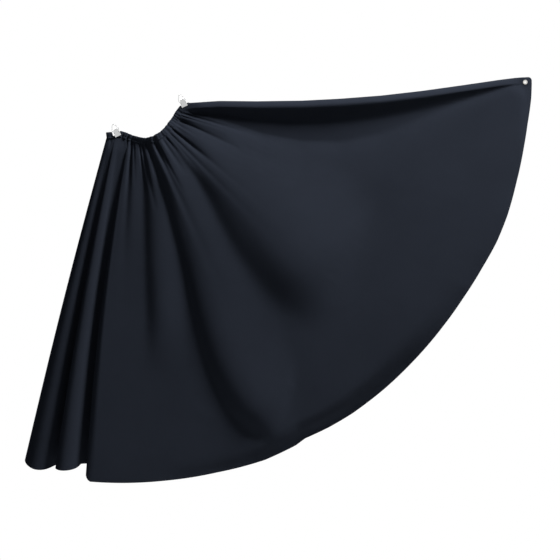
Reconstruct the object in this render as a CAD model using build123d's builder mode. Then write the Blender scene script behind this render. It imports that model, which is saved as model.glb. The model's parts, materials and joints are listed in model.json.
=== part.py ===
from build123d import *
import os
from math import asin, cos, degrees, pi, radians, sin

# A full-circle nylon deck skirt, gathered by an elastic at the waist and hung up to dry: two spring
# clips hold the waistband, and one eyelet at the hem holds the front fold out to the side.
# Millimetres. X runs along the spread hem fold, the front layer faces -Y, Z is up.
# The origin is the middle of the waist opening.

# ---- cloth pattern ----
hem_radius = 888.0  # from the pattern's centre to the hem
pattern_x = -46.0  # the pattern's centre, as the skirt hangs
pattern_z = 88.7
spread_deg = 104.7  # how far round the hem the hung skirt reaches
tube_lift = 18.0  # the gathered tubes at the left hang this much shorter
tube_start = 0.88  # share of the hem where those tubes begin
tube_ramp = 0.06
cloth = 1.0  # cloth with its coating and fold allowance
layer_half = 1.0  # half the space between the two layers at their joined edges
hem_belly = 56.0  # how far each layer stands off the middle plane at the hem
belly_lean = 1.6  # moves the deepest place towards the gathered side
fold_sag = 19.0  # sag of the top fold between the waist and the eyelet
fold_sag_fade = 8  # how fast that sag dies out below the fold
fit = 0.3  # soft pieces lie this far from their neighbours
panel_columns = 32  # grid of points that each layer's surface passes through
panel_rows = 8

# ---- waistband ----
waist_edge = [(-90, -32), (-62, -28), (-6, -44), (34, -27), (66, 18), (84, 40)]  # XZ, drooping edge
waist_edge_start = (1, 0.15)
waist_edge_end = (0.5, 0.87)
casing_width = 14.0
casing_ply = 0.8
elastic_thick = 1.2
elastic_play = 0.3
elastic_stay = 3.0  # radius of the sewn stay that joins the elastic's two runs
waist_depth = 20.0  # half the front-to-back opening of the waist
waist_end_half = 2.0  # half the distance between the two layers at the clips
waist_lean_deg = 25.0  # tilt of the waistband and of both clips
grip_left = -58.0  # between these two places the waistband opens into its belly
grip_right = 70.0
belly_middle = 5.0  # where the belly is deepest
belly_shoulder = 60.0  # radii of the bends beside the clips and at the deepest place
belly_round = 150.0
elastic_stay_share = 0.03  # each stay sits this share of the waist edge in from its end

# ---- seams and hem ----
seam_width = 9.0
seam_thick = 1.4
seam_start_share = 0.03  # both seams start this share of the way down from the waistband
right_seam_stop = 26.0  # the right seam ends this far short of the hem, clear of the eyelet
left_seam_stop = 9.0
hem_width = 11.0
hem_thick = 0.9
hem_end_share = 0.03  # the turned hem stops this share short of the side seams

# ---- eyelet at the hem corner ----
eyelet_inset = 10.0
eyelet_bore = 2.2
eyelet_barrel = 3.0
eyelet_flange = 5.0
eyelet_plate = 0.8
eyelet_lip = 0.7
eyelet_gap = 0.3
washer_play = 0.05
cloth_hole_play = 0.2

# ---- spring clips ----
clip_centres = {"right": (79.3, 34.1), "left": (-67.2, -30.9)}  # pivot pins in the XZ plane
jaw_reach = 10.0  # pivot to jaw tip
jaw_bite = 5.6  # how far the jaws reach over the waistband's edge
arm_reach = 8.0  # pivot to the top of the finger arm
jaw_width = 14.0
arm_width = 7.6
jaw_plate = 0.8
jaw_pivot_half = 3.0
arm_splay = 6.2
jaw_bulge = 1.0
jaw_bend = 1.6
pin_radius = 0.8
pin_head = 1.35
pin_head_thick = 0.5
pin_play = 0.05
ear_radius = 2.1
ear_thick = 0.8
inner_ear = 3.9  # inside face of the front jaw's ears
ear_gap = 0.3
bail_wire = 0.7
bail_hole_rise = 3.2
bail_half = 7.3
bail_shoulder = 5.0
bail_top = 15.0
bail_top_half = 2.2
bail_foot_bend = 1.1
bail_side_bend = 6.0
bail_top_bend = 1.9
spring_wire = 0.4
spring_coil = 1.55
spring_pitch = 0.72  # close-wound turns
spring_turns = 5
spring_leg = 6.2  # rise of each leg along its finger arm
spring_leg_splay = 2.85
spring_leg_wire = 0.3

os.makedirs("parts", exist_ok=True)


def save(piece, label):
    piece.part.label = label
    export_step(piece.part, f"parts/{label}.step")


# ---- the hung cloth as a formula ----
casing_half = elastic_thick / 2 + elastic_play + casing_ply
waist_line = Spline(*waist_edge, tangents=[waist_edge_start, waist_edge_end])


def below_waist(share, drop):
    """Place in XZ on the waist edge, moved into the cloth; share runs from right to left."""
    edge = waist_line @ (1 - share)
    way = waist_line % (1 - share)
    return edge.X + drop * way.Y, edge.Y - drop * way.X


def tube_blend(share):
    ramp = min(max((share - tube_start) / tube_ramp, 0), 1)
    return ramp * ramp * (3 - 2 * ramp)


def fold_line(share, along):
    """Place in XZ on a thread from waist to hem; share runs from the top fold to the left edge."""
    swing = radians(share * spread_deg)
    reach = hem_radius - tube_lift * tube_blend(share)
    top = below_waist(share, casing_width + fit)
    hem = (pattern_x + reach * cos(swing), pattern_z - reach * sin(swing))
    sag = 4 * along * (1 - along) * fold_sag * (1 - share) ** fold_sag_fade
    x = top[0] + along * (hem[0] - top[0])
    z = top[1] + along * (hem[1] - top[1]) - sag
    return x, z


def half_depth(share, along):
    """Distance of a layer's inner face from the middle plane."""
    at_waist = waist_end_half + (waist_depth - waist_end_half) * sin(pi * share)
    at_hem = layer_half + hem_belly * sin(pi * share**belly_lean)
    return at_waist + along * (at_hem - at_waist)


def cloth_face(side, shares, alongs, inset):
    """Smooth face through a grid of cloth points; side is -1 in front and +1 behind."""
    grid = []
    for share in shares:
        row = []
        for along in alongs:
            x, z = fold_line(share, along)
            row.append(Vector(x, side * (half_depth(share, along) - inset), z))
        grid.append(row)
    return Face.make_surface_from_array_of_points(grid)


def steps(low, high, count):
    return [low + (high - low) * i / count for i in range(count + 1)]


eyelet_x = pattern_x + hem_radius - eyelet_inset
eyelet_z = pattern_z - eyelet_inset
eyelet_plane = Plane(origin=(eyelet_x, 0, eyelet_z), x_dir=(1, 0, 0), z_dir=(0, -1, 0))
hem_share = 1 - hem_width / (hem_radius - casing_width)
far = 3 * hem_radius

for side, name in ((-1, "front"), (1, "back")):
    with BuildPart() as panel:
        face = cloth_face(side, steps(0, 1, panel_columns), steps(0, 1, panel_rows), 0)
        extrude(face, amount=cloth, dir=(0, side, 0))
        with BuildSketch(eyelet_plane):
            Circle(eyelet_barrel + cloth_hole_play)
        extrude(amount=4 * layer_half + 4 * cloth, both=True, mode=Mode.SUBTRACT)
    save(panel, f"{name}_panel")

    with BuildPart() as hem:
        face = cloth_face(
            side,
            steps(hem_end_share, 1 - hem_end_share, panel_columns),
            steps(hem_share, 1, 2),
            fit + hem_thick,
        )
        extrude(face, amount=hem_thick, dir=(0, side, 0))
    save(hem, f"{name}_hem")

# ---- side seams: narrow bound strips between the two layers ----
fold_start = fold_line(0, seam_start_share)
fold_middle = fold_line(0, 0.5)
fold_end = fold_line(0, 1 - right_seam_stop / hem_radius)
with BuildPart() as right_seam:
    with BuildSketch(Plane.XZ):
        with BuildLine():
            upper = ThreePointArc(fold_start, fold_middle, fold_end)
            lower = ThreePointArc(
                (fold_start[0], fold_start[1] - seam_width),
                (fold_middle[0], fold_middle[1] - seam_width),
                (fold_end[0], fold_end[1] - seam_width),
            )
            Line(upper @ 0, lower @ 0)
            Line(upper @ 1, lower @ 1)
        make_face()
    extrude(amount=seam_thick / 2, both=True)
save(right_seam, "right_side_seam")

gather_top = fold_line(1, seam_start_share)
gather_foot = fold_line(1, 1 - left_seam_stop / hem_radius)
with BuildPart() as left_seam:
    with BuildSketch(Plane.XZ):
        with BuildLine():
            Polyline(
                gather_top,
                gather_foot,
                (gather_foot[0] + seam_width, gather_foot[1]),
                (gather_top[0] + seam_width, gather_top[1]),
                close=True,
            )
        make_face()
    extrude(amount=seam_thick / 2, both=True)
save(left_seam, "left_side_seam")

# ---- waistband: a gathered casing with its elastic inside ----
across = (cos(radians(waist_lean_deg)), 0, sin(radians(waist_lean_deg)))
upward = (-sin(radians(waist_lean_deg)), 0, cos(radians(waist_lean_deg)))
waist_plane = Plane(origin=(0, 0, 0), x_dir=across, z_dir=upward)
trim_half = bail_half + bail_wire + fit
trim_height = 4 * jaw_reach
wall_reach = hem_radius / 4


def waist_wall(side, thick):
    """One layer of the waistband as an upright wall that bellies out between the clips."""
    ends = side * waist_end_half
    with BuildPart() as wall:
        with BuildSketch(waist_plane):
            with BuildLine():
                FilletPolyline(
                    (-wall_reach, ends),
                    (grip_left, ends),
                    (belly_middle, side * waist_depth),
                    (grip_right, ends),
                    (wall_reach, ends),
                    radius=[belly_shoulder, belly_round, belly_shoulder],
                )
            trace(line_width=thick)
        extrude(amount=wall_reach, both=True)
    return wall.part


def band_block(inset):
    """The waistband's front view as a block, trimmed where the clips sit over its edge."""
    end_share = inset / waist_line.length
    shares = steps(end_share, 1 - end_share, 10)
    with BuildPart() as block:
        with BuildSketch(Plane.XZ):
            with BuildLine():
                upper_edge = Spline(*[below_waist(share, inset) for share in shares])
                lower_edge = Spline(*[below_waist(share, casing_width - inset) for share in shares])
                Line(upper_edge @ 0, lower_edge @ 0)
                Line(upper_edge @ 1, lower_edge @ 1)
            make_face()
            for centre in clip_centres.values():
                with Locations(Location((centre[0], centre[1]), waist_lean_deg)):
                    with Locations((0, trim_height / 2 - jaw_reach + jaw_bite - inset)):
                        Rectangle(2 * (trim_half + inset), trim_height, mode=Mode.SUBTRACT)
        extrude(amount=wall_reach, both=True)
    return block.part


stay_places = [
    below_waist(share, casing_width / 2) for share in (elastic_stay_share, 1 - elastic_stay_share)
]
whole_block = band_block(0)
channel_block = band_block(casing_ply)
elastic_block = band_block(casing_ply + elastic_play)
for side, name in ((-1, "front"), (1, "back")):
    wall = waist_wall(side, 2 * casing_half)
    channel = waist_wall(side, elastic_thick + 2 * elastic_play)
    with BuildPart() as casing:
        add(wall & whole_block)
        add(channel & channel_block, mode=Mode.SUBTRACT)
        with BuildSketch(Plane.XZ):
            with Locations(*stay_places):
                Circle(elastic_stay + elastic_play)
        extrude(amount=-side * waist_end_half, mode=Mode.SUBTRACT)
    save(casing, f"waist_casing_{name}")

front_run = waist_wall(-1, elastic_thick) & elastic_block
back_run = waist_wall(1, elastic_thick) & elastic_block
with BuildPart() as elastic:
    add(front_run)
    add(back_run)
    with BuildSketch(Plane.XZ):
        with Locations(*stay_places):
            Circle(elastic_stay)
    extrude(amount=waist_end_half, both=True)
save(elastic, "waist_elastic")


# ---- corner eyelet: a flanged barrel through both layers, clenched over a washer behind ----
eyelet_share = degrees(asin(eyelet_inset / (hem_radius - eyelet_inset))) / spread_deg
cloth_outer = half_depth(eyelet_share, 1) + cloth + eyelet_gap
with BuildPart() as eyelet:
    with BuildSketch(eyelet_plane.offset(-cloth_outer - eyelet_plate - eyelet_lip)):
        Circle(eyelet_barrel)
    extrude(amount=2 * cloth_outer + 2 * eyelet_plate + eyelet_lip)
    with BuildSketch(eyelet_plane.offset(cloth_outer)):
        Circle(eyelet_flange)
    extrude(amount=eyelet_plate)
    fillet(eyelet.faces().sort_by(Axis.Y)[0].edges(), eyelet_plate / 2)
    with BuildSketch(eyelet_plane.offset(-cloth_outer - eyelet_plate - eyelet_lip)):
        Circle(eyelet_barrel + eyelet_lip)
    extrude(amount=eyelet_lip - washer_play)
    with BuildSketch(eyelet_plane.offset(-far)):
        Circle(eyelet_bore)
    extrude(amount=2 * far, mode=Mode.SUBTRACT)
save(eyelet, "corner_eyelet")

with BuildPart() as washer:
    with BuildSketch(eyelet_plane.offset(-cloth_outer - eyelet_plate)):
        Circle(eyelet_flange)
        Circle(eyelet_barrel + washer_play, mode=Mode.SUBTRACT)
    extrude(amount=eyelet_plate)
save(washer, "eyelet_washer")

# ---- spring clips ----
jaw_face = waist_end_half + casing_half + fit  # inside face of a closed jaw
outer_ear = inner_ear + ear_thick + ear_gap
ear_outside = outer_ear + ear_thick
arm_root = bail_hole_rise + bail_wire + ear_gap


def jaw_plate_part(side_plane, front_plane, side, ear_inside, ear_top):
    """One stamped jaw: a cranked plate with a finger arm above and two pivot ears."""
    middle = jaw_face + jaw_plate / 2
    at_pivot = jaw_pivot_half + jaw_plate / 2
    shoulder = ear_inside + ear_thick
    ear_depth = side * at_pivot
    with BuildPart() as plate:
        with BuildSketch(side_plane):
            with BuildLine():
                FilletPolyline(
                    (side * middle, -jaw_reach),
                    (side * (middle + jaw_bulge), -jaw_reach / 2),
                    (side * at_pivot, 0),
                    (side * arm_splay, arm_reach),
                    radius=jaw_bend,
                )
            trace(line_width=jaw_plate)
        extrude(amount=jaw_width, both=True)
        with BuildSketch(front_plane):
            with BuildLine():
                Polyline(
                    (0, -2 * jaw_reach),
                    (jaw_width / 2, -2 * jaw_reach),
                    (jaw_width / 2, -jaw_reach / 2),
                    (shoulder, -ear_radius),
                    (shoulder, ear_top),
                    (arm_width / 2, ear_top + (shoulder - arm_width / 2)),
                    (arm_width / 2, 2 * arm_reach),
                    (0, 2 * arm_reach),
                    close=True,
                )
            make_face()
            mirror(about=Plane.YZ)
        extrude(amount=jaw_width, both=True, mode=Mode.INTERSECT)
        with BuildSketch(side_plane.offset(ear_inside), side_plane.offset(-shoulder)):
            Circle(ear_radius)
            with Locations((ear_depth / 2, (ear_top - ear_radius) / 2)):
                Rectangle(abs(ear_depth), ear_top + ear_radius)
            if ear_top > ear_radius:
                with Locations((0, ear_top / 2)):
                    Rectangle(2 * ear_radius, ear_top)
        extrude(amount=ear_thick)
        with BuildSketch(side_plane.offset(-jaw_width)):
            Circle(pin_radius + pin_play)
            if ear_top > ear_radius:
                with Locations((0, bail_hole_rise)):
                    Circle(bail_wire + pin_play)
        extrude(amount=2 * jaw_width, mode=Mode.SUBTRACT)
    return plate


for side_name, centre in clip_centres.items():
    pivot = Vector(centre[0], 0, centre[1])
    side_plane = Plane(origin=pivot, x_dir=(0, 1, 0), z_dir=across)
    front_plane = Plane(origin=pivot, x_dir=across, z_dir=(0, -1, 0))

    back_jaw = jaw_plate_part(side_plane, front_plane, 1, outer_ear, arm_root)
    save(back_jaw, f"{side_name}_clip_back_jaw")
    front_jaw = jaw_plate_part(side_plane, front_plane, -1, inner_ear, ear_radius)
    save(front_jaw, f"{side_name}_clip_front_jaw")

    with BuildPart() as pin:
        with BuildSketch(side_plane.offset(-ear_outside - pin_play)):
            Circle(pin_radius)
        extrude(amount=2 * (ear_outside + pin_play))
        for start in (-ear_outside - pin_play - pin_head_thick, ear_outside + pin_play):
            with BuildSketch(side_plane.offset(start)):
                Circle(pin_head)
            extrude(amount=pin_head_thick)
        fillet(pin.edges().filter_by(GeomType.CIRCLE).group_by(SortBy.RADIUS)[-1], pin_head_thick / 3)
    save(pin, f"{side_name}_clip_pin")

    coil_half = (spring_turns - 1) * spring_pitch / 2
    with BuildPart() as spring:
        with BuildSketch(front_plane):
            with GridLocations(spring_pitch, 0, spring_turns, 1):
                with Locations((0, spring_coil)):
                    Circle(spring_wire)
        revolve(axis=Axis(pivot, across))
        for side in (-1, 1):
            root = pivot + Vector(*across) * side * coil_half + Vector(0, side * spring_coil, 0)
            lean = Vector(0, side * spring_leg_splay, 0) + Vector(*upward) * spring_leg
            with BuildSketch(Plane(origin=root, z_dir=lean)):
                Circle(spring_leg_wire)
            extrude(amount=lean.length)
    save(spring, f"{side_name}_clip_spring")

    with BuildPart() as bail:
        shoulder_rise = bail_hole_rise + bail_shoulder
        top_rise = bail_hole_rise + bail_top
        with BuildLine(front_plane) as wire:
            FilletPolyline(
                (outer_ear + pin_play, bail_hole_rise),
                (bail_half, bail_hole_rise),
                (bail_half, shoulder_rise),
                (bail_top_half, top_rise),
                (-bail_top_half, top_rise),
                (-bail_half, shoulder_rise),
                (-bail_half, bail_hole_rise),
                (-outer_ear - pin_play, bail_hole_rise),
                radius=[bail_foot_bend, bail_side_bend, bail_top_bend, bail_top_bend]
                + [bail_side_bend, bail_foot_bend],
            )
        with BuildSketch(Plane(origin=wire.line @ 0, z_dir=wire.line % 0)):
            Circle(bail_wire)
        sweep(path=wire.line)
    save(bail, f"{side_name}_clip_bail")
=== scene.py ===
import json
import math

import bmesh
import bpy
import numpy as np
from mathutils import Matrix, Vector


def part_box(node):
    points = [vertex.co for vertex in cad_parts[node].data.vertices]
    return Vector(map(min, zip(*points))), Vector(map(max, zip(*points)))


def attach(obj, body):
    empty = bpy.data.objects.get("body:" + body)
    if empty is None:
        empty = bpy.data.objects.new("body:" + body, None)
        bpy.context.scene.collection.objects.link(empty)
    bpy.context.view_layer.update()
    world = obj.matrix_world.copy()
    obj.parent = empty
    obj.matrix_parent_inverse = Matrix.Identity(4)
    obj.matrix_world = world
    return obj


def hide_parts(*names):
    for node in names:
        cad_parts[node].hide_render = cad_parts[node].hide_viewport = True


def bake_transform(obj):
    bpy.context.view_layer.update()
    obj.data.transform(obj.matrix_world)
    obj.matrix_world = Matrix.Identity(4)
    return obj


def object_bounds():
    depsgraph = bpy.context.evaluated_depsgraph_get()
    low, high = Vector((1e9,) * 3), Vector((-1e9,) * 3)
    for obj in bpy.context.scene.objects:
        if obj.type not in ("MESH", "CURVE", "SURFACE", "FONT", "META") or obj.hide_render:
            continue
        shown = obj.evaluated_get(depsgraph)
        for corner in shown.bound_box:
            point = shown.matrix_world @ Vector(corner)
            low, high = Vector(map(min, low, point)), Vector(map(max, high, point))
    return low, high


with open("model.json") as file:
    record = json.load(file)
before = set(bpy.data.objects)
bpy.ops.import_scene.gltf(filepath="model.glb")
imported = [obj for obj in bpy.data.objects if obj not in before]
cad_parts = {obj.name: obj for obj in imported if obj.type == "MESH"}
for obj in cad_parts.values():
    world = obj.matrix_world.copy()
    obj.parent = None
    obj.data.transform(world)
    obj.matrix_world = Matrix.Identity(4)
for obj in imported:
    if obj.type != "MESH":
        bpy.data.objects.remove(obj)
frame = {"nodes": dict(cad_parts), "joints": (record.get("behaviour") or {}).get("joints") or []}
cadLow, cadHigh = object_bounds()
scene = bpy.context.scene
mm = 0.001

panelLow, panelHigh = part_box("front_panel")
eyeletLow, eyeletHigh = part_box("corner_eyelet")
eyeletSpot = (eyeletLow + eyeletHigh) / 2
hinges = {j["name"]: j for j in frame["joints"]}


view = {
    "frameWidth": 1.232,    # metres across the view, at the middle plane
    "distance": 7.0,
    "aimX": 0.2926,
    "aimZ": -0.3564,
}
studio = {
    "ambient": 0.08,
    "skyColour": (0.96, 0.98, 1.0, 1),
    "keyWatts": 262.0,
    "keySize": 1.0,
    "keyPlace": (2.35, -1.15, 2.35),
    "fillWatts": 14.0,
    "fillSize": 2.5,
    "fillPlace": (-3.2, -3.4, 0.6),
    "backWatts": 150.0,
    "backSize": 2.4,
    "backPlace": (-1.6, 4.2, 2.4),
    "floorDrop": 0.95,      # below the lowest cloth
    "floorRadius": 1.35,
    "floorColour": (0.86, 0.86, 0.85, 1),
    "shadowShare": 0.35,
}


def addObject(name, data):
    obj = bpy.data.objects.new(name, data)
    scene.collection.objects.link(obj)
    return obj


def aimAt(obj, target):
    obj.rotation_mode = "QUATERNION"
    obj.rotation_quaternion = (Vector(target) - obj.location).to_track_quat("-Z", "Y")


def softLamp(name, watts, size, place, target):
    lamp = bpy.data.lights.new(name, "AREA")
    lamp.shape, lamp.size, lamp.energy = "DISK", size, watts
    obj = addObject(name, lamp)
    obj.location = place
    aimAt(obj, target)


def nodeTree(owner):
    owner.use_nodes = True
    owner.node_tree.nodes.clear()
    return owner.node_tree.nodes, owner.node_tree.links


def setInputs(node, **values):
    for name, value in values.items():
        node.inputs[name.replace("_", " ")].default_value = value
    return node


def feedIn(tree, socket, value):
    if isinstance(value, (int, float)):
        socket.default_value = value
    elif value is not None:
        tree.links.new(value, socket)


def mathNode(tree, operation, a, b=None):
    node = tree.nodes.new("ShaderNodeMath")
    node.operation = operation
    feedIn(tree, node.inputs[0], a)
    feedIn(tree, node.inputs[1], b)
    return node.outputs[0]


# 1 on camera, mirror and glass rays, 0 on the rays that light things
def seenDirectly(tree):
    rays = tree.nodes.new("ShaderNodeLightPath")
    either = mathNode(tree, "MAXIMUM", rays.outputs["Is Camera Ray"], rays.outputs["Is Glossy Ray"])
    return mathNode(tree, "MAXIMUM", either, rays.outputs["Is Transmission Ray"])


# Puts out a mix of two shaders, the second one as far as share says
def mixOut(nodes, links, kind, share, lit, seen):
    mix, out = nodes.new("ShaderNodeMixShader"), nodes.new(kind)
    for k, socket in enumerate((share, lit.outputs[0], seen.outputs[0])):
        links.new(socket, mix.inputs[k])
    links.new(mix.outputs[0], out.inputs["Surface"])


def makeStudio():
    cameraData = bpy.data.cameras.new("mainView")
    cameraData.sensor_width = 36
    cameraData.lens = 18 * view["distance"] / (view["frameWidth"] / 2)
    cameraData.clip_end = 60
    camera = addObject("mainView", cameraData)
    camera.location = (view["aimX"], -view["distance"], view["aimZ"])
    camera.rotation_euler = (math.pi / 2, 0, 0)
    scene.camera = camera
    scene.view_settings.view_transform = "Standard"

    world = bpy.data.worlds.new("paleRoom")
    scene.world = world
    nodes, links = nodeTree(world)
    lit = setInputs(nodes.new("ShaderNodeBackground"), Strength=studio["ambient"], Color=studio["skyColour"])
    seen = setInputs(nodes.new("ShaderNodeBackground"), Strength=1.0, Color=(1, 1, 1, 1))
    mixOut(nodes, links, "ShaderNodeOutputWorld", seenDirectly(world.node_tree), lit, seen)

    middle = (cadLow + cadHigh) / 2
    for lamp in ("key", "fill", "back"):
        softLamp(lamp + "Lamp", studio[lamp + "Watts"], studio[lamp + "Size"], studio[lamp + "Place"], middle)

    bpy.ops.mesh.primitive_circle_add(vertices=96, radius=studio["floorRadius"], fill_type="NGON")
    floor = bpy.context.object
    floor.name = "studioFloor"
    floor.location = (middle.x, 0, cadLow.z - studio["floorDrop"])
    material = bpy.data.materials.new("paleFloor")
    nodes, links = nodeTree(material)
    matte = setInputs(nodes.new("ShaderNodeBsdfDiffuse"), Color=studio["floorColour"])
    glow = setInputs(nodes.new("ShaderNodeEmission"), Color=(1, 1, 1, 1))
    tree = material.node_tree
    share = mathNode(tree, "MULTIPLY", seenDirectly(tree), 1 - studio["shadowShare"])
    mixOut(nodes, links, "ShaderNodeOutputMaterial", share, matte, glow)
    floor.data.materials.append(material)


makeStudio()
print("studio ready")


cut = {
    "hemRadius": panelHigh.z - panelLow.z,          # the hem is part of one circle as it hangs
    "centreX": panelHigh.x - (panelHigh.z - panelLow.z),
    "centreZ": panelHigh.z,
    "waistCut": 0.143,        # radius of the hole that the waist gathers up
    "clothThick": 0.0006,
    "spread": 104.7,          # degrees round the hem, from the top fold to the gathered side
    "sagFade": 8,
    "waistOpen": 0.020,       # half the front-to-back opening
    "waistPinch": 0.002,      # the same at the clips
    "waistAlong": (-0.058, 0.005, 0.070),     # where it is pinched, widest and pinched again
    "bandWidth": 0.014,
    "jawCalm": (0.0085, 0.0165),        # metres from a pin over which the gathers come back
    "cornerRound": 0.009,
    "middleGap": 0.00035,
    "eyeletGrip": 0.00203,    # each layer lies this far from the middle under the eyelet's rims
    "eyeletSeat": (0.0055, 0.014),
    "eyeletHole": 0.0036,
}
clips = {}
for side in ("right", "left"):
    hinge = hinges[side + "_jaw_open"]
    clips[side] = {"pin": Vector(hinge["pos_m"]), "along": -Vector(hinge["axis"])}
leanAlong = clips["right"]["along"]                  # the waistband's own tilt
leanUp = Vector((-leanAlong.z, 0, leanAlong.x))
# the drooping waist edge from its left end to its right, in the frame
waistSpots = [(-90, -32), (-76, -30.5), (-62, -28), (-48, -31.5), (-30, -38.5), (-6, -44),
              (14, -40), (34, -27), (50, -6.5), (66, 18), (76, 30.5), (84, 40)]


def smoothStep(low, high, x):
    t = np.clip((np.asarray(x, dtype=float) - low) / (high - low), 0, 1)
    return t * t * (3 - 2 * t)


# One column of a table against another
def readOff(table, at):
    table = np.array(table, dtype=float)
    return np.interp(at, table[:, 0], table[:, 1])


# A fine smooth curve through the points
def curveThrough(points, steps=40):
    points = np.array(points, dtype=float)
    ends = np.vstack([2 * points[0] - points[1], points, 2 * points[-1] - points[-2]])
    t = np.linspace(0, 1, steps, endpoint=False)[:, None]
    runs = []
    for i in range(1, len(ends) - 2):
        a, b, c, d = ends[i - 1:i + 3]
        runs.append(0.5 * (2 * b + (c - a) * t + (2 * a - 5 * b + 4 * c - d) * t**2
                           + (3 * b - a - 3 * c + d) * t**3))
    return np.vstack(runs + [points[-1:]])


def lengthsAlong(points):
    return np.concatenate([[0], np.cumsum(np.linalg.norm(np.diff(points, axis=0), axis=1))])


# Places on a fine curve at shares of its length
def atShares(fine, shares):
    along = lengthsAlong(fine)
    return np.stack([np.interp(np.asarray(shares) * along[-1], along, fine[:, k])
                     for k in range(fine.shape[1])], axis=1)


waistFine = curveThrough(waistSpots)[::-1] * mm      # from the right clip's end to the left end
waistLong = lengthsAlong(waistFine)[-1]


# Places (x, z) on the waist edge, moved drop metres down into the cloth
def waistPlace(shares, drop):
    shares, drop = np.asarray(shares, dtype=float), np.asarray(drop, dtype=float)
    here = atShares(waistFine, shares)
    ahead, behind = (atShares(waistFine, np.clip(shares + step, 0, 1)) for step in (0.004, -0.004))
    way = ahead - behind
    way /= np.linalg.norm(way, axis=1)[:, None]
    return here + np.broadcast_to(drop, shares.shape)[:, None] * np.stack([-way[:, 1], way[:, 0]], axis=1)


# Distance along and above the waistband's tilted line
def leanPlace(xz):
    return (xz[:, 0] * leanAlong.x + xz[:, 1] * leanAlong.z,
            xz[:, 0] * leanUp.x + xz[:, 1] * leanUp.z)


for clip in clips.values():
    along, above = leanPlace(np.array([[clip["pin"].x, clip["pin"].z]]))
    clip["lean"] = along[0], above[0]


# Half the opening of the waist at a place along it: pinched at both clips
def waistHalf(xz):
    along, _ = leanPlace(xz)
    gripLeft, deepest, gripRight = cut["waistAlong"]
    left, right = (along - gripLeft) / (deepest - gripLeft), (gripRight - along) / (gripRight - deepest)
    rise = smoothStep(0, 1, np.minimum(left, right))
    return cut["waistPinch"] + (cut["waistOpen"] - cut["waistPinch"]) * rise


# 0 between the jaws, 1 away from them
def clipCalm(xz):
    along, _ = leanPlace(xz)
    calm = np.ones(len(xz))
    for clip in clips.values():
        calm *= smoothStep(*cut["jawCalm"], np.abs(along - clip["lean"][0]))
    return calm


# The small ruffles along the waist, from -1 to 1, uneven as real gathers are
def gathers(shares, seedShift, waves):
    x = np.asarray(shares, dtype=float)
    turn = 2 * np.pi
    wander = 0.35 * np.sin(turn * (2.3 * x + seedShift)) + 0.22 * np.sin(turn * (5.1 * x + 2 * seedShift))
    phase = turn * (waves * x + wander)
    size = 0.72 + 0.28 * np.sin(turn * (3.7 * x + 3 * seedShift))
    return size * (0.8 * np.sin(phase) + 0.2 * np.sin(2 * phase + 0.9))


# Where each layer's hem runs, from the spread corner to the gathered side (x, y, z in mm).
# The spread part lies on the hem's circle; then the cloth doubles back on itself in deep pleats.
frontLayer = {
    "name": "skirtFront",
    "side": -1,
    "circleEnd": 94.9,         # degrees round the hem that lie open
    "belly": [(0, 0.4), (10, 12), (25, 31), (42, 47.5), (55, 53), (68, 51), (80, 48), (90, 49.5),
              (95, 49)],
    "hemDip": 0.0,
    "waistEnd": 0.745,         # share of the waist edge that feeds the spread part
    "pleats": [
        (-131, -44, -786), (-128, -39, -776), (-105, -37, -768), (-40, -35, -762), (32, -33, -758),
        (40, -27, -756), (32, -22, -754), (-40, -18, -748), (-100, -13, -742), (-122, -13, -740),
        (-138, -20, -754), (-152, -32, -767), (-168, -41, -772), (-184, -43, -773), (-195, -37, -771),
        (-199, -28, -768), (-190, -20, -764), (-150, -14, -760), (-100, -10, -758), (-92, -4, -757),
        (-100, 1, -757), (-150, 3, -757), (-182, 3, -758), (-200, -2, -763), (-216, -13, -770),
        (-232, -21, -773), (-248, -21, -771), (-260, -13, -765), (-267, -3, -758), (-269, 5, -753)],
    "pleatFeeds": [(0.0, 0.745), (0.28, 0.775), (0.40, 0.80), (0.56, 0.91), (0.72, 0.93),
                   (0.80, 0.945), (1.0, 1.0)],
    "waves": 13,
    "shift": 0.13,
}
backLayer = {
    "name": "skirtBack",
    "side": 1,
    "circleEnd": 94.2,
    "belly": [(0, 0.4), (10, 12), (25, 33), (42, 50), (55, 54), (68, 51), (80, 49), (90, 50.5), (95, 50)],
    "hemDip": 5.0,
    "waistEnd": 0.77,
    "pleats": [
        (-122, 44, -786), (-121, 38, -770), (-105, 36, -752), (-40, 36, -744), (42, 34, -742),
        (50, 30, -741), (42, 26, -740), (-40, 26, -738), (-110, 27, -737), (-132, 33, -740),
        (-148, 42, -752), (-166, 49, -764), (-186, 50, -768), (-202, 44, -767), (-206, 36, -764),
        (-196, 29, -759), (-160, 24, -754), (-116, 22, -750), (-108, 18, -749), (-116, 14, -749),
        (-160, 14, -750), (-196, 17, -753), (-214, 25, -760), (-232, 34, -766), (-248, 34, -767),
        (-261, 24, -762), (-267, 14, -757), (-269, 5, -753)],
    "pleatFeeds": [(0.0, 0.77), (0.28, 0.80), (0.40, 0.83), (0.56, 0.93), (0.80, 0.955), (1.0, 1.0)],
    "waves": 12,
    "shift": 0.57,
}
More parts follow.
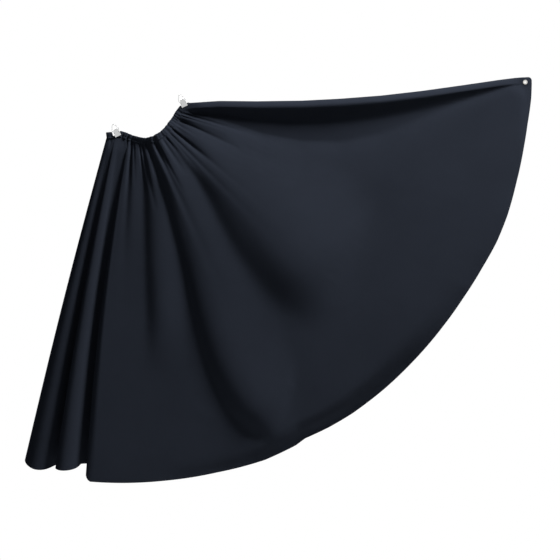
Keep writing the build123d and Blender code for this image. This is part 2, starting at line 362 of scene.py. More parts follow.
# Each fold of the spread part: its line from waist to hem (x, z in mm), the tilt of its steep flank,
# the flank's width at the top and at the foot, how far its easy side reaches, and the shares of the
# line at which it begins, is full and starts to die.
frontFolds = [
    {"line": [(4, -42), (20, -95), (41, -165), (60, -240), (78, -310), (98, -400), (120, -490),
              (152, -580), (200, -660), (262, -705), (330, -722)],
     "tilt": (1.5, 1.1), "wide": (6.0, 26.0), "reach": 190.0, "live": (0.02, 0.14, 0.84)},
    {"line": [(30, -36), (66, -78), (112, -136), (139, -180), (168, -236), (206, -300), (262, -372),
              (340, -440), (440, -490)],
     "tilt": (1.1, 0.50), "wide": (9.0, 80.0), "reach": 310.0, "live": (0.02, 0.26, 0.66)},
    {"line": [(-14, -50), (-4, -130), (0, -300), (4, -440), (0, -580)],
     "tilt": (1.1, 0.8), "wide": (7.0, 21.0), "reach": 95.0, "live": (0.02, 0.16, 0.66)},
    {"line": [(-34, -50), (-40, -130), (-46, -240), (-52, -330)],
     "tilt": (0.6, 0.5), "wide": (5.0, 8.0), "reach": 40.0, "live": (0.0, 0.2, 0.4)},
    {"line": [(50, -8), (84, -42), (130, -84), (190, -130)],
     "tilt": (0.6, 0.5), "wide": (6.0, 14.0), "reach": 60.0, "live": (0.0, 0.2, 0.35)},
]
backFolds = [
    {"line": [(8, -44), (26, -130), (52, -270), (70, -420), (110, -560), (190, -680), (260, -730)],
     "tilt": (1.0, 0.7), "wide": (7.0, 32.0), "reach": 180.0, "live": (0.02, 0.16, 0.7)},
    {"line": [(44, -20), (100, -92), (190, -200), (300, -320), (420, -420), (520, -480)],
     "tilt": (0.8, 0.5), "wide": (9.0, 50.0), "reach": 240.0, "live": (0.02, 0.3, 0.6)},
    {"line": [(-20, -50), (-26, -180), (-34, -360), (-40, -560), (-44, -700)],
     "tilt": (0.8, 0.6), "wide": (6.0, 16.0), "reach": 80.0, "live": (0.02, 0.2, 0.6)},
    {"line": [(24, -34), (60, -150), (120, -300), (160, -380)],
     "tilt": (0.6, 0.5), "wide": (6.0, 12.0), "reach": 50.0, "live": (0.0, 0.2, 0.4)},
]
creases = [  # faint short creases left by folding
    ((200, -706), (262, -722), 1.1, 5.0), ((240, -716), (300, -738), 1.0, 5.0),
    ((90, -640), (150, -652), 0.8, 6.0),
]
grid = {
    "openColumns": 190, "pleatColumns": 128, "rows": 96,
    # mm from the corner and from the hem, closer together where the eyelet is
    "cornerColumns": [0, 1.2, 2.6, 4.2, 6.2, 8.2, 10.0, 11.8, 13.8, 15.8, 17.6, 19.6, 22.5, 26.5, 32],
    "footRows": [0, 1.5, 4.0, 6.2, 8.2, 10.0, 11.8, 13.8, 16, 19, 23, 28],
}


# The nearest place on the line from a to b: its share of the way, and the offset from it
def nearSegment(x, z, a, b):
    step = b - a
    t = np.clip(((x - a[0]) * step[0] + (z - a[1]) * step[1]) / (step @ step), 0, 1)
    return t, x - a[0] - t * step[0], z - a[1] - t * step[1]


# How far the folds lift the cloth outwards, in metres
def foldRelief(x, z, folds):
    rise = np.zeros(x.shape)
    for fold in folds:
        line = curveThrough(fold["line"], 12) * mm
        share = lengthsAlong(line)
        share /= share[-1]
        best, side, along = np.full(x.shape, 9.0), np.zeros(x.shape), np.zeros(x.shape)
        for i in range(len(line) - 1):
            step = line[i + 1] - line[i]
            t, dx, dz = nearSegment(x, z, line[i], line[i + 1])
            far = np.hypot(dx, dz)
            nearer = far < best
            best = np.where(nearer, far, best)
            side = np.where(nearer, np.sign(step[0] * dz - step[1] * dx), side)
            along = np.where(nearer, share[i] + t * (share[i + 1] - share[i]), along)
        away = best * side                     # positive to the right of the line, seen going down
        wide = mm * (fold["wide"][0] + (fold["wide"][1] - fold["wide"][0]) * along**1.4)
        reach = fold["reach"] * mm * (0.35 + 0.65 * smoothStep(0.0, 0.5, along))
        begins, full, keep = fold["live"]
        strength = smoothStep(begins, full, along) * (1 - smoothStep(keep, 1.0, along))
        tilt = fold["tilt"][0] + (fold["tilt"][1] - fold["tilt"][0]) * along
        soft = 0.22 * wide
        onto = soft * np.logaddexp(0, away / soft)          # distance past the line, with a soft start
        flank = 1 - np.exp(-onto / wide)
        rise += tilt * wide * strength * flank * (1 - smoothStep(0.15, 1.0, onto / reach))
    return rise


def creaseRelief(x, z):
    rise = np.zeros(x.shape)
    for start, end, tall, wide in creases:
        t, dx, dz = nearSegment(x, z, np.array(start) * mm, np.array(end) * mm)
        far = np.hypot(dx, dz)
        rise += tall * mm * np.exp(-(far / (wide * mm)) ** 2) * np.sin(np.pi * np.clip(t, 0.02, 0.98)) ** 0.5
    return rise


# How far the hanging hem wanders off its circle: degrees round the hem, and mm.
hemWander = [(0, 4.6), (3, 4.2), (6.6, 0.5), (10, -0.6), (15, -0.4), (20, 2.2), (24, 2.0), (28, -1.6),
             (33, -3.6), (38, -3.2), (45, -0.9), (50, 1.1), (56, 2.2), (60, 0.4), (63.6, -3.2),
             (65.2, 1.6), (70, 4.8), (77, 0.6), (85, -0.6), (95, 0.4), (110, 0)]
# How the top fold hangs between clip and corner: share of the way, mm down.
topSag = [(0, 0), (0.09, 1.0), (0.2, 8.0), (0.33, 14.0), (0.44, 16.1), (0.56, 16.0), (0.68, 12.5),
          (0.80, 6.7), (0.91, 0.8), (0.96, -1.0), (1, 0)]
# The rolled top fold and the trough under it: distance down and height out (mm), how it widens
# and dies along the fold, and how tall it stands there (mm, share).
topRoll = {
    "crest": 13.0,
    "backShare": 0.7,         # how much of it the back layer has
    "shape": [(0, 0), (3, 7), (8, 12.5), (13, 14.5), (17, 13), (22, 8.5), (30, 2), (40, -5),
              (50, -10.5), (57, -12.5), (64, -12.5), (80, -9.5), (105, -4.5), (140, -1), (170, 0)],
    "tall": [(84, 0.35), (130, 0.6), (170, 0.75), (249, 1.0), (337, 1.25), (425, 1.35), (513, 1.15),
             (600, 0.85), (689, 0.5), (777, 0.2), (830, 0.0)],
    "along": [(84, 0.12), (130, 0.28), (170, 0.45), (249, 0.95), (337, 1.18), (425, 1.25), (513, 1.1),
              (600, 0.8), (689, 0.42), (777, 0.16), (830, 0.0)],
}
gatherCrease = {
    "seed": 7,
    "count": 19,
    "depth": (0.0016, 0.0042),
    "length": (0.07, 0.20),
    "wide": (0.0022, 0.0038),
    "lean": (-0.012, 0.012),
}


# Hem line as a fine curve, with the share of it that lies open
def hemCourse(layer):
    swing = np.radians(np.linspace(0, layer["circleEnd"], 400))
    reach = cut["hemRadius"] + mm * readOff(hemWander, np.degrees(swing))
    x = cut["centreX"] + reach * np.cos(swing)
    z = cut["centreZ"] - reach * np.sin(swing)
    y = layer["side"] * mm * readOff(curveThrough(layer["belly"], 30), np.degrees(swing))
    z = z + 0.0015 * (1 - smoothStep(0, 8, np.degrees(swing)))
    z = z - layer["hemDip"] * mm * smoothStep(80, 89, np.degrees(swing))
    openPart = np.stack([x, y, z], axis=1)
    turn = [openPart[-14], openPart[-7], openPart[-1]]
    steps = 24
    folded = curveThrough(np.vstack([turn, np.array(layer["pleats"]) * mm]), steps)
    return openPart, folded[2 * steps:]


# Column shares of the open part, closer together at the eyelet's corner
def openPlaces():
    corner = np.array(grid["cornerColumns"]) * mm / cut["hemRadius"]
    rest = np.linspace(corner[-1], 1, grid["openColumns"] - len(corner) + 1)[1:]
    return corner, rest


# Row shares from waist to hem, closer together at both ends
def rowPlaces():
    foot = 1 - np.array(grid["footRows"])[::-1] * mm / cut["hemRadius"]
    count = grid["rows"] - len(foot)
    t = np.linspace(0, 1, count + 1)[:-1]
    return np.concatenate([foot[0] * (0.55 * t + 0.45 * t**2), foot])


# What the threads do between waist and hem: metres, and shares of the way down.
drape = {
    "startDrop": 0.0105,      # the cloth starts this far down inside the casing
    "fuller": 0.105,
    "tuck": 0.0035,           # how far the pleats lie inside each other at the waist
    "pleatBow": (-0.012, -0.004),
    # degrees round the hem, and how far (mm) or from where it curls back
    "curl": [(26, 0), (32, 3), (38, 14), (46, 35), (54, 44), (61, 39), (66, 25), (74, 10), (86, 0)],
    "curlFrom": [(38, 0.925), (50, 0.935), (61, 0.948), (70, 0.955)],
    "curlTo": 1.004,
    "slump": [(20, 0), (34, 6), (50, 8), (66, 6), (80, 0)],
    "slumpFrom": 0.45,
    "topFull": 0.0042,        # how far the layers part just below the top fold
    "topFullOver": 0.02,
    "ruffle": (0.0014, 0.0042),         # at the casing's foot, and clear of it
    "ruffleReach": (0.085, 0.055),
    # where each of these fades in or out
    "meets": (0.8, 1.0),      # shares of the pleats, up to the gathered seam
    "opens": (0.02, 0.30),    # shares of the open hem
    "topHeld": (0.0, 0.0045),           # metres below the top fold
    "sideHeld": (0.93, 1.0),
    "eyeletHeld": (0.009, 0.034),       # metres from the eyelet
    "casingClear": (0.002, 0.018),      # shares of the way down
}


# The columns of one layer: where they end at the hem, and what part of the waist each hangs from
def layerColumns(layer):
    openHem, foldedHem = hemCourse(layer)
    openLong, foldedLong = lengthsAlong(openHem)[-1], lengthsAlong(foldedHem)[-1]
    corner, rest = openPlaces()
    corner = corner * cut["hemRadius"] / openLong
    step = rest[1] - rest[0]
    rest = corner[-1] + (rest - rest[0] + step) / (1 - rest[0] + step) * (1 - corner[-1])
    openShares = np.concatenate([corner, rest])
    foldedShares = np.linspace(0, 1, grid["pleatColumns"] + 1)[1:]
    none = np.zeros(len(openShares))
    return {
        "openLong": openLong,
        "foldedLong": foldedLong,
        "hem": np.vstack([atShares(openHem, openShares), atShares(foldedHem, foldedShares)]),
        "hemAlong": np.concatenate([openShares * openLong, openLong + foldedShares * foldedLong]),
        "isOpen": np.concatenate([none + 1, 0 * foldedShares]),
        "feed": np.concatenate([openShares * layer["waistEnd"], readOff(layer["pleatFeeds"], foldedShares)]),
        "tucked": np.concatenate([none, drape["tuck"] * np.sin(np.pi * foldedShares * 0.97)]),
    }


# Sharp creases that run on into the cloth from single gathers
def gatherRelief(layer, fall, share, openLong):
    spread = waistLong * layer["waistEnd"] * (1 - fall) + openLong * fall
    rng = np.random.default_rng(gatherCrease["seed"] + (layer["side"] > 0))
    relief = 0
    for k in range(gatherCrease["count"]):
        at = (k + rng.uniform(0.15, 0.85)) / gatherCrease["count"]
        depth, length = rng.uniform(*gatherCrease["depth"]), rng.uniform(*gatherCrease["length"])
        wide = rng.uniform(*gatherCrease["wide"])
        lean = rng.uniform(*gatherCrease["lean"])
        down = fall * cut["hemRadius"] / length
        across = (share - at - lean * down) * spread / (wide * (0.7 + 0.9 * down))
        relief = relief + depth * np.exp(-across**2) * np.clip(1 - down, 0, 1) ** 0.8
    return relief


# How far the rolled top fold and its trough lift the cloth
def rollRelief(layer, x, below):
    grow = readOff(topRoll["along"], x / mm)
    crest, deep = topRoll["crest"], below / mm
    deep = np.where(deep < crest, deep, crest + (deep - crest) / np.maximum(grow, 0.05))
    roll = mm * readOff(curveThrough(topRoll["shape"], 16), deep) * readOff(topRoll["tall"], x / mm)
    return roll * (1.0 if layer["side"] < 0 else topRoll["backShare"])


def fromEyelet(x, z):
    return np.hypot(x - eyeletSpot.x, z - eyeletSpot.z)


# Cuts the free corner round and seats both layers under the eyelet's rims
def finishCorner(points, side, openPart):
    x, y, z = (points[..., k] for k in range(3))
    inX, inZ = x[0, -1] - x, z[0, -1] - z
    rounding = cut["cornerRound"]
    far = np.hypot(rounding - inX, rounding - inZ)
    outside = (inX < rounding) & (inZ < rounding) & (far > rounding) & (openPart > 0)
    pull = np.where(outside, rounding / np.maximum(far, 1e-9), 1.0)
    x += (rounding - inX) * (pull - 1)
    z += (rounding - inZ) * (pull - 1)
    # the open layer never crosses to the other side of the middle
    y[...] = np.where(openPart > 0, side * np.maximum(side * y, cut["middleGap"]), y)
    grip = (1 - smoothStep(*cut["eyeletSeat"], fromEyelet(x, z))) * openPart
    y += grip * (side * cut["eyeletGrip"] - y)


# All the points of one layer as columns by rows, with the cut cloth's own map
def layerGrid(layer, folds):
    side, columns = layer["side"], layerColumns(layer)
    hem, hemAlong, feed, openLong = (columns[k] for k in ("hem", "hemAlong", "feed", "openLong"))
    openPart = columns["isOpen"][:, None]
    v = rowPlaces()
    fall = v[None, :]
    share = np.clip(hemAlong / openLong, 0, 1)[:, None]
    swing = share * layer["circleEnd"]        # degrees round the hem
    # both layers meet along the top fold and at the gathered seam
    apart = 1 - smoothStep(*drape["meets"], (hemAlong - openLong) / columns["foldedLong"])
    waistXZ = waistPlace(feed, drape["startDrop"])
    waistY = side * (waistHalf(waistXZ) - cut["clothThick"] / 2)
    waistY = waistY - side * columns["tucked"] * smoothStep(0.003, 0.012, np.abs(waistY))
    waistY = waistY * apart * smoothStep(-0.002, 0.02, hemAlong / openLong)
    apart = apart[:, None]
    top = np.stack([waistXZ[:, 0], waistY, waistXZ[:, 1]], axis=1)
    points = top[:, None, :] + fall[..., None] * (hem - top)[:, None, :]
    x, y, z = (points[..., k] for k in range(3))         # views: they move the points
    z -= mm * readOff(topSag, fall) * (1 - swing / cut["spread"]) ** cut["sagFade"]
    # the open part fills out on its way down, and the gathered side bows outwards a little
    openness = openPart * smoothStep(*drape["opens"], share)
    y += 4 * fall * (1 - fall) * drape["fuller"] * openness * (hem[:, 1] - waistY)[:, None]
    pleatsFrom = openLong / hemAlong[-1]
    bow = np.interp(hemAlong / hemAlong[-1], [0, 0.88 * pleatsFrom, pleatsFrom, 1],
                    [0, 0, *drape["pleatBow"]])
    x += bow[:, None] * np.sin(np.pi * fall)
    lift = foldRelief(x, z, folds)
    if side < 0:
        lift = lift + creaseRelief(x, z)
    # the free hem curls back where nothing holds it
    curlFrom = readOff(drape["curlFrom"], swing)
    curled = smoothStep(0, 1, (fall - curlFrom) / (drape["curlTo"] - curlFrom))
    slumped = np.clip((fall - drape["slumpFrom"]) / (1 - drape["slumpFrom"]), 0, 1) ** 1.5
    lift = lift - mm * (readOff(drape["curl"], swing) * curled + readOff(drape["slump"], swing) * slumped)
    below = np.interp(x, points[0, :, 0], points[0, :, 2]) - z
    lift = lift + rollRelief(layer, x, below)
    topOver = drape["topFullOver"]
    topFull = drape["topFull"] * np.sqrt(np.clip(below, 0, topOver) / topOver)
    topFull = topFull * smoothStep(0, 0.03, x[0, -1] - x) * apart * smoothStep(0.003, 0.05, fall)
    held = smoothStep(*drape["topHeld"], below) * openPart * (1 - smoothStep(*drape["sideHeld"], share))
    quiet = smoothStep(*drape["eyeletHeld"], fromEyelet(x, z))
    y += side * quiet * (lift * held * smoothStep(0, 0.05, fall) + topFull)
    # gathers under the waistband
    calm = clipCalm(waistXZ)[:, None]
    leaves = smoothStep(*drape["casingClear"], fall)
    least, most = drape["ruffle"]
    reach, more = drape["ruffleReach"]
    reach = reach + more * np.sin(37 * feed + 5 * layer["shift"])[:, None]
    ruffle = gathers(feed, layer["shift"], layer["waves"])[:, None] * calm * apart
    ruffle = ruffle * np.exp(-fall * cut["hemRadius"] / reach) * smoothStep(0.0, 0.03, share)
    y += side * (least + (most - least) * leaves) * ruffle
    sharp = gatherRelief(layer, fall, share, openLong)
    y -= side * sharp * calm * leaves * smoothStep(0.015, 0.07, share) * openPart
    finishCorner(points, side, openPart)
    round180 = np.pi * hemAlong / hemAlong[-1]
    rho = cut["waistCut"] + fall * (cut["hemRadius"] - cut["waistCut"])
    flatMap = np.stack([rho * np.cos(round180)[:, None], rho * np.sin(round180)[:, None]], axis=-1)
    return points, flatMap, {"hemAlong": hemAlong, "v": v}


# A sheet mesh from a grid of points, with its map
def gridObject(name, points, flatMap, flip=False):
    columns, rows = points.shape[:2]
    index = np.arange(columns * rows).reshape(columns, rows)
    a, b, c, d = index[:-1, :-1], index[1:, :-1], index[1:, 1:], index[:-1, 1:]
    quads = np.stack([a, b, c, d] if not flip else [a, d, c, b], axis=-1).reshape(-1, 4)
    mesh = bpy.data.meshes.new(name)
    mesh.from_pydata(points.reshape(-1, 3).tolist(), [], quads.tolist())
    layerMap = mesh.uv_layers.new(name="cutMap")
    loops = np.empty(len(mesh.loops), dtype=np.int32)
    mesh.loops.foreach_get("vertex_index", loops)
    layerMap.data.foreach_set("uv", flatMap.reshape(-1, 2)[loops].astype(np.float32).ravel())
    mesh.polygons.foreach_set("use_smooth", np.ones(len(mesh.polygons), dtype=bool))
    mesh.update()
    return addObject(name, mesh)


# Opens the eyelet's hole in a sheet: drops the faces inside it and rounds the rim
def pierce(obj, radius):
    work = bmesh.new()
    work.from_mesh(obj.data)
    inside, near = radius * 0.72, radius * 1.7
    middles = [(face, face.calc_center_median() - eyeletSpot) for face in work.faces]
    gone = [face for face, middle in middles if math.hypot(middle.x, middle.z) < inside]
    bmesh.ops.delete(work, geom=gone, context="FACES")
    for vert in work.verts:
        away = Vector((vert.co.x - eyeletSpot.x, 0, vert.co.z - eyeletSpot.z))
        if vert.is_boundary and away.length < near:
            away.normalize()
            vert.co.x, vert.co.z = eyeletSpot.x + away.x * radius, eyeletSpot.z + away.z * radius
    work.to_mesh(obj.data)
    work.free()


def thicken(obj, thick):
    wall = obj.modifiers.new("thickness", "SOLIDIFY")
    wall.thickness, wall.offset = thick, 0.0
    wall.use_even_offset = False
    return obj


layers = {}
for layer, folds in ((frontLayer, frontFolds), (backLayer, backFolds)):
    points, flatMap, facts = layerGrid(layer, folds)
    sheet = gridObject(layer["name"], points, flatMap, flip=layer["side"] > 0)
    pierce(sheet, cut["eyeletHole"])
    thicken(sheet, cut["clothThick"])
    layers[layer["side"]] = {"sheet": sheet, "points": points, "flatMap": flatMap, **facts, **layer}
    print(layer["name"], "points", points.shape, "hem", round(facts["hemAlong"][-1], 3), "m")


def newGroup(name, inputs, outputs, treeKind="ShaderNodeTree"):
    tree = bpy.data.node_groups.new(name, treeKind)
    for way, sockets in (("INPUT", inputs), ("OUTPUT", outputs)):
        for label, kind in sockets:
            tree.interface.new_socket(label, in_out=way, socket_type="NodeSocket" + kind)
    return tree, tree.nodes.new("NodeGroupInput"), tree.nodes.new("NodeGroupOutput")


def noise(tree, place, scale, detail, roughness=0.5, stretch=None):
    if stretch:
        mapping = tree.nodes.new("ShaderNodeMapping")
        mapping.inputs["Scale"].default_value = stretch
        tree.links.new(place, mapping.inputs["Vector"])
        place = mapping.outputs[0]
    node = tree.nodes.new("ShaderNodeTexNoise")
    node.inputs["Detail"].default_value = detail
    node.inputs["Roughness"].default_value = roughness
    tree.links.new(place, node.inputs["Vector"])
    feedIn(tree, node.inputs["Scale"], scale)
    return node.outputs["Fac"]


# Plain weave: rounded threads that pass over and under each other
def makeWeaveGroup():
    tree, start, end = newGroup(
        "plainWeave", [("Place", "Vector"), ("Threads", "Float")], [("Height", "Float")])

    def times(a, b):
        return mathNode(tree, "MULTIPLY", a, b)

    split = tree.nodes.new("ShaderNodeSeparateXYZ")
    tree.links.new(start.outputs["Place"], split.inputs[0])
    across, along = (times(split.outputs[k], start.outputs["Threads"]) for k in ("X", "Y"))
    warp, weft = (mathNode(tree, "ABSOLUTE", mathNode(tree, "SINE", times(k, math.pi)))
                  for k in (across, along))
    cell = mathNode(tree, "ADD", mathNode(tree, "FLOOR", across), mathNode(tree, "FLOOR", along))
    over = mathNode(tree, "PINGPONG", cell, 1.0)
    under = mathNode(tree, "SUBTRACT", 1.0, over)
    tree.links.new(mathNode(tree, "ADD", times(warp, over), times(weft, under)), end.inputs["Height"])
    return tree


# Slight unevenness of dyed cloth: broad patches and fine slubs along the threads
def makeToneGroup():
    tree, start, end = newGroup(
        "dyedTone", [("Place", "Vector"), ("Colour", "Color"), ("Patches", "Float"), ("Slubs", "Float")],
        [("Colour", "Color"), ("Worn", "Float")])
    broad = noise(tree, start.outputs["Place"], 5.0, 4.0, 0.55)
    slub = noise(tree, start.outputs["Place"], 1.0, 2.0, stretch=(900, 60, 60))
    patch = mathNode(tree, "MULTIPLY", mathNode(tree, "SUBTRACT", broad, 0.5), start.outputs["Patches"])
    thread = mathNode(tree, "MULTIPLY", mathNode(tree, "SUBTRACT", slub, 0.5), start.outputs["Slubs"])
    gain = mathNode(tree, "ADD", mathNode(tree, "ADD", patch, thread), 1.0)
    scale = tree.nodes.new("ShaderNodeVectorMath")
    scale.operation = "SCALE"
    tree.links.new(start.outputs["Colour"], scale.inputs[0])
    tree.links.new(gain, scale.inputs["Scale"])
    tree.links.new(scale.outputs[0], end.inputs["Colour"])
    tree.links.new(broad, end.inputs["Worn"])
    return tree


# Handling marks on metal: dull patches and hairline scratches
def makeWearGroup():
    tree, start, end = newGroup(
        "handledMetal", [("Place", "Vector"), ("Size", "Float")], [("Dull", "Float"), ("Scratch", "Float")])
    dull = noise(tree, start.outputs["Place"], start.outputs["Size"], 4.0, 0.6)
    fine = noise(tree, start.outputs["Place"], start.outputs["Size"], 2.0, stretch=(3.0, 40.0, 3.0))
    tree.links.new(dull, end.inputs["Dull"])
    tree.links.new(fine, end.inputs["Scratch"])
    return tree


weaveGroup, toneGroup, wearGroup = makeWeaveGroup(), makeToneGroup(), makeWearGroup()

clothLook = {
    "patches": 0.34,
    "slubs": 0.22,
    "weaveStrength": 0.30,
    "roughness": (0.50, 0.66),
    "specular": 0.0,
    "sheenRoughness": 0.45,
    "sheenTint": (0.62, 0.70, 0.95, 1),
}
# colour, threads per metre, sheen, depth of the weave (metres)
cloths = {
    "navyCloth": ((0.0176, 0.0210, 0.0294, 1), 2400.0, 0.02, 0.00012),
    "bindingTape": ((0.0120, 0.0135, 0.0190, 1), 1500.0, 0.05, 0.0002),
    "navyThread": ((0.026, 0.030, 0.042, 1), 5200.0, 0.05, 0.00008),
    "elasticWeb": ((0.010, 0.010, 0.012, 1), 900.0, 0.05, 0.0003),
}
metalLook = {"patches": 0.18, "scratchStrength": 0.15, "scratchDepth": 0.00002}
# colour, lowest and highest roughness, how small the handling marks are
metals = {
    "clipChrome": ((0.55, 0.556, 0.554, 1), (0.10, 0.24), 700.0),
    "springSteel": ((0.42, 0.42, 0.43, 1), (0.22, 0.38), 900.0),
    "eyeletNickel": ((0.62, 0.61, 0.58, 1), (0.16, 0.34), 500.0),
}


def groupNode(tree, group, **values):
    node = tree.nodes.new("ShaderNodeGroup")
    node.node_tree = group
    return setInputs(node, **values)


# Gives a shader its colour, roughness range and bumped height, and puts it out
def finishShader(tree, shader, colour, worn, roughness, height, bump):
    links = tree.links
    spread = tree.nodes.new("ShaderNodeMapRange")
    spread.inputs["To Min"].default_value, spread.inputs["To Max"].default_value = roughness
    out = tree.nodes.new("ShaderNodeOutputMaterial")
    links.new(worn, spread.inputs["Value"])
    links.new(height, bump.inputs["Height"])
    links.new(colour, shader.inputs["Base Color"])
    links.new(spread.outputs["Result"], shader.inputs["Roughness"])
    links.new(bump.outputs[0], shader.inputs["Normal"])
    links.new(shader.outputs[0], out.inputs["Surface"])


def clothMaterial(name, colour, threads, sheen, depth):
    look = clothLook
    material = bpy.data.materials.new(name)
    nodes, links = nodeTree(material)
    tree = material.node_tree
    place = nodes.new("ShaderNodeUVMap")
    place.uv_map = "cutMap"
    weave = groupNode(tree, weaveGroup, Threads=threads)
    tone = groupNode(tree, toneGroup, Colour=colour, Patches=look["patches"], Slubs=look["slubs"])
    links.new(place.outputs[0], weave.inputs["Place"])
    links.new(place.outputs[0], tone.inputs["Place"])
    bump = setInputs(nodes.new("ShaderNodeBump"), Strength=look["weaveStrength"], Distance=depth)
    shader = setInputs(nodes.new("ShaderNodeBsdfPrincipled"), Sheen_Weight=sheen,
                       Sheen_Roughness=look["sheenRoughness"], Sheen_Tint=look["sheenTint"],
                       Specular_IOR_Level=look["specular"])
    finishShader(tree, shader, tone.outputs["Colour"], tone.outputs["Worn"], look["roughness"],
                 weave.outputs["Height"], bump)
    return material


def metalMaterial(name, colour, roughness, markSize):
    look = metalLook
    material = bpy.data.materials.new(name)
    nodes, links = nodeTree(material)
    tree = material.node_tree
    place = nodes.new("ShaderNodeTexCoord")
    wear = groupNode(tree, wearGroup, Size=markSize)
    tint = groupNode(tree, toneGroup, Colour=colour, Patches=look["patches"], Slubs=0.0)
    links.new(place.outputs["Object"], wear.inputs["Place"])
    links.new(place.outputs["Object"], tint.inputs["Place"])
    bump = setInputs(nodes.new("ShaderNodeBump"), Strength=look["scratchStrength"],
                     Distance=look["scratchDepth"])
    shader = setInputs(nodes.new("ShaderNodeBsdfPrincipled"), Metallic=1.0)
    finishShader(tree, shader, tint.outputs["Colour"], wear.outputs["Dull"], roughness,
                 wear.outputs["Scratch"], bump)
    return material


navyCloth, bindingTape, navyThread, elasticWeb = (clothMaterial(name, *look) for name, look in cloths.items())
chrome, springSteel, eyeletNickel = (metalMaterial(name, *look) for name, look in metals.items())
print("finishes ready")


band = {
    "columns": 300,           # round each half of the waist
    "ruffle": 0.0015,
    "scallop": 0.0008,
    "jawClear": 0.0047,       # the band stays this far below the pins
    "jawSpan": (0.0072, 0.0096),
    # drop below the edge and distance outwards, from the inner turning over the top to the foot
    "section": [(13.0, -1.3), (11.2, -1.0), (9.7, -0.6), (9.3, -0.6), (8.0, -1.2), (5.5, -1.6),
                (3.0, -1.4), (1.0, -0.9), (0.1, -0.2), (0.1, 0.4), (0.9, 1.2), (2.8, 1.75), (5.4, 1.9),
                (7.9, 1.5), (9.3, 0.8), (9.8, 0.75), (10.8, 1.2), (12.4, 1.5), (14.0, 1.35)],
    "thick": 0.0005,
    "stitchRow": (9.55, 1.22),          # a place in the section, mm
    "stitchStep": 0.0026,
    "halfLong": 0.45,         # of the uncut casing, for the weave
}
elasticBand = {"top": 2.0, "foot": 8.0, "thick": 0.0008, "ribs": 260, "rib": 0.12, "ruffle": 0.0008}


# How far the waist edge is pressed down under the two clips
def jawDip(shares):
    top = waistPlace(shares, 0.0)
    along, above = leanPlace(top)
    dip = np.zeros(len(shares))
    for clip in clips.values():
        pinAlong, pinAbove = clip["lean"]
        near = 1 - smoothStep(*band["jawSpan"], np.abs(along - pinAlong))
        over = np.maximum(above - pinAbove + band["jawClear"], 0)
        dip = np.maximum(dip, near * over * 1.12)
    return dip


# Brings both layers together at the two ends of the waist
def endRound(shares):
    near = np.minimum(shares, 1 - shares)
    return np.sqrt(np.clip(near / 0.012, 0, 1))


# A strip that follows the whole waist: along the front to the left end and back along the back
def bandRing(section, columns, ruffleSize, scallop):
    shares = 0.5 - 0.5 * np.cos(np.pi * np.linspace(0, 1, columns + 1))
    shares = 0.75 * np.linspace(0, 1, columns + 1) + 0.25 * shares
    v = np.cumsum([0] + [math.dist(a, b) for a, b in zip(section, section[1:])]) * mm
    ring, maps = [], []
    for layer, run in ((frontLayer, shares), (backLayer, shares[::-1])):
        dip, ends = jawDip(run), endRound(run)
        calm = clipCalm(waistPlace(run, 0.0)) * smoothStep(0, 0.03, np.minimum(run, 1 - run))
        wave = gathers(run, layer["shift"], layer["waves"])
        fine = gathers(run, layer["shift"] + 0.31, layer["waves"] * 2.3)
        rows = []
        for drop, out in section:
            share = drop * mm / cut["bandWidth"]
            depth = dip + drop * mm * (1 - dip / cut["bandWidth"])
            xz = waistPlace(run, depth - scallop * calm * (0.6 * wave + 0.5 * fine) * (1 - share))
            swell = ruffleSize * calm * (wave * (0.5 + share) + 0.45 * fine)
            y = layer["side"] * np.maximum((waistHalf(xz) + out * mm) * ends + swell, 0.0)
            rows.append(np.stack([xz[:, 0], y, xz[:, 1]], axis=1))
        ring.append(np.stack(rows, axis=1)[:-1])
        u = band["halfLong"] * (run if layer["side"] < 0 else 2 - run)
        maps.append(np.stack(np.broadcast_arrays(u[:-1, None], v[None, :]), axis=-1))
    # the ring closes on its first column, one whole casing further along the map
    whole = [2 * band["halfLong"], 0]
    return np.concatenate([*ring, ring[0][:1]]), np.concatenate([*maps, maps[0][:1] + whole])


# Joins points that lie on each other, such as the two ends of a ring
def weld(obj):
    work = bmesh.new()
    work.from_mesh(obj.data)
    bmesh.ops.remove_doubles(work, verts=work.verts, dist=0.00002)
    work.to_mesh(obj.data)
    work.free()


def bandPiece(name, section, columns, ruffleSize, scallop, thick, material):
    obj = gridObject(name, *bandRing(section, columns, ruffleSize, scallop), flip=True)
    weld(obj)
    thicken(obj, thick)
    obj.data.materials.append(material)
    return obj


waistCasing = bandPiece("waistCasing", band["section"], band["columns"], band["ruffle"], band["scallop"],
                        band["thick"], navyCloth)
top, tall, steps = elasticBand["top"], elasticBand["foot"] - elasticBand["top"], 12
section = [(top + tall * i / steps, elasticBand["rib"] * (-1) ** i) for i in range(steps + 1)]
waistElastic = bandPiece("waistElastic", section, elasticBand["ribs"], elasticBand["ruffle"], 0.0,
                         elasticBand["thick"], elasticWeb)
print("waistband ready")


trim = {
    "hemGap": 0.0009,
    "seamThick": 0.0008,
    "stitchStep": 0.0034,
    "stitchLength": 0.0026,
    "threadRadius": 0.00028,
    "hemStitchRise": 0.0094,
    # rise above the hem's edge (metres), share of hemGap to the inside
    "hemSection": [(0.0, 0.0), (0.0007, -0.75), (0.002, -1.0), (0.0045, -1.0), (0.0075, -1.0),
                   (0.0105, -0.95), (0.0112, -0.6)],
    "hemThick": 0.00048,
    "hemEnds": slice(8, -3),  # columns that the turned hem covers, and its stitches
    "stitchEnds": slice(14, -3),
    "topSeamRows": slice(3, -12),
    "gatherSeamRows": slice(3, -4),
    "seamSteps": (0.0012, 0.0035, 0.006, 0.009),        # metres inwards from the edge
}


def gridNormals(points):
    facing = np.cross(np.gradient(points, axis=0), np.gradient(points, axis=1))
    return facing / np.maximum(np.linalg.norm(facing, axis=-1, keepdims=True), 1e-9)


